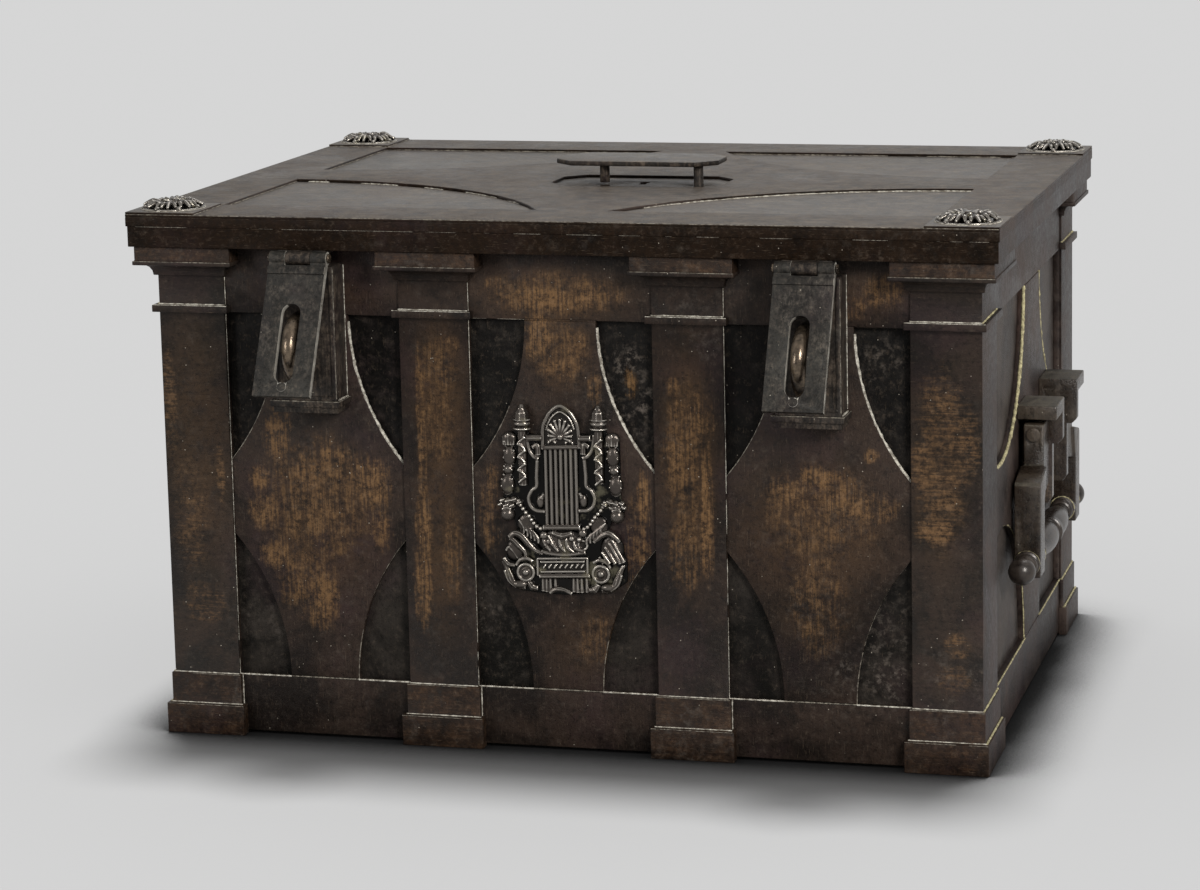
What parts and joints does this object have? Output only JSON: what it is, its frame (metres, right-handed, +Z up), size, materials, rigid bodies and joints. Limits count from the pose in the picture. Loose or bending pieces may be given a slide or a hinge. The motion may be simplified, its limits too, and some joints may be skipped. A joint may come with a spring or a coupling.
{
  "type": "armada chest",
  "caption": "Iron armada chest with a hinged overhanging lid, pilasters, strapwork panels, slotted hasps over staples, drop handles, a rising keyhole cover and a keyed bolt lock under the lid.",
  "frame": {"origin": "middle of the floor plate's underside, which is also the middle of the lid's width and depth", "axes": "+Z up, +X along the chest's width to the viewer's right, the front towards -Y"},
  "size_m": [0.884, 0.7238, 0.544],
  "materials": {
    "dark_iron": "dark brown-black patinated wrought iron, satin",
    "panel_iron": "brushed dark iron rubbed to a warm brown",
    "lid_iron": "grey-brown waxed iron, soft sheen",
    "cast_mount": "glossy near-black cast iron",
    "worn_iron": "iron polished bronze-brown by use",
    "inner_iron": "plain dull iron"
  },
  "bodies": {
    "chest": {"floor_plate": "inner_iron", "front_wall": "dark_iron", "back_wall": "dark_iron", "left_wall": "dark_iron", "right_wall": "dark_iron", "mouth_rim": "inner_iron", "front_panel": "panel_iron", "left_panel": "panel_iron", "right_panel": "panel_iron", "pilaster_front_left": "panel_iron", "pilaster_front_inner_left": "panel_iron", "pilaster_front_inner_right": "panel_iron", "pilaster_front_right": "panel_iron", "pilaster_back_left": "panel_iron", "pilaster_back_right": "panel_iron", "lock_box_left": "dark_iron", "lock_box_right": "dark_iron", "staple_left": "worn_iron", "staple_right": "worn_iron", "lyre_mount": "cast_mount", "handle_bracket_left_front": "dark_iron", "handle_bracket_left_back": "dark_iron", "handle_bracket_right_front": "dark_iron", "handle_bracket_right_back": "dark_iron", "handle_pin_left_front": "worn_iron", "handle_pin_left_back": "worn_iron", "handle_pin_right_front": "worn_iron", "handle_pin_right_back": "worn_iron", "rear_hinge_body_leaf_left": "dark_iron", "rear_hinge_body_leaf_right": "dark_iron", "rear_hinge_pin_left": "worn_iron", "rear_hinge_pin_right": "worn_iron"},
    "lid": {"lid_plate": "lid_iron", "keyhole_plate": "dark_iron", "lid_frame": "lid_iron", "rosette_front_left": "cast_mount", "rosette_front_right": "cast_mount", "rosette_back_left": "cast_mount", "rosette_back_right": "cast_mount", "hasp_leaf_left": "dark_iron", "hasp_leaf_right": "dark_iron", "hasp_pin_left": "worn_iron", "hasp_pin_right": "worn_iron", "rear_hinge_lid_leaf_left": "dark_iron", "rear_hinge_lid_leaf_right": "dark_iron", "lock_plate": "inner_iron"},
    "cover_post": {"keyhole_cover_pivot_post": "dark_iron"},
    "keyhole_cover": {"keyhole_cover_plate": "lid_iron", "keyhole_cover_catch_pin": "dark_iron"},
    "hasp_left": {"hasp_left": "dark_iron"},
    "hasp_right": {"hasp_right": "dark_iron"},
    "handle_left": {"handle_arm_left_front": "dark_iron", "handle_arm_left_back": "dark_iron", "handle_grip_left": "worn_iron"},
    "handle_right": {"handle_arm_right_front": "dark_iron", "handle_arm_right_back": "dark_iron", "handle_grip_right": "worn_iron"},
    "lock_cam": {"lock_cam": "worn_iron"},
    "bolt_left": {"bolt_left": "worn_iron"},
    "bolt_right": {"bolt_right": "worn_iron"}
  },
  "joints": [
    {"name": "lid_hinge", "type": "hinge", "parent": "chest", "child": "lid", "pos_m": [0, 0.3285, 0.488], "axis": [-1, 0, 0], "range_deg": [0, 95]},
    {"name": "keyhole_cover_rise", "type": "slide", "parent": "lid", "child": "cover_post", "axis": [0, 0, 1], "range_m": [-0.022, 0]},
    {"name": "keyhole_cover_swing", "type": "hinge", "parent": "cover_post", "child": "keyhole_cover", "pos_m": [0.073, -0.033, 0.539], "axis": [0, 0, -1], "range_deg": [0, 90]},
    {"name": "hasp_left_swing", "type": "hinge", "parent": "lid", "child": "hasp_left", "pos_m": [-0.246, -0.3255, 0.4815], "axis": [-1, 0, 0], "range_deg": [-26, 145]},
    {"name": "hasp_right_swing", "type": "hinge", "parent": "lid", "child": "hasp_right", "pos_m": [0.246, -0.3255, 0.4815], "axis": [-1, 0, 0], "range_deg": [-26, 145]},
    {"name": "handle_left_lift", "type": "hinge", "parent": "chest", "child": "handle_left", "pos_m": [-0.419, 0.027, 0.281], "axis": [0, 1, 0], "range_deg": [0, 90]},
    {"name": "handle_right_lift", "type": "hinge", "parent": "chest", "child": "handle_right", "pos_m": [0.419, 0.027, 0.281], "axis": [0, -1, 0], "range_deg": [0, 90]},
    {"name": "lock_turn", "type": "hinge", "parent": "lid", "child": "lock_cam", "pos_m": [0.01, -0.007, 0.485], "axis": [0, 0, 1], "range_deg": [0, 90]},
    {"name": "bolt_left_throw", "type": "slide", "parent": "lid", "child": "bolt_left", "axis": [-1, 0, 0], "range_m": [0, 0.025]},
    {"name": "bolt_right_throw", "type": "slide", "parent": "lid", "child": "bolt_right", "axis": [1, 0, 0], "range_m": [0, 0.025]}
  ],
  "couplings": [
    {"joint": "bolt_left_throw", "follows": "lock_turn", "m_per_rad": 0.015915},
    {"joint": "bolt_right_throw", "follows": "lock_turn", "m_per_rad": 0.015915}
  ]
}
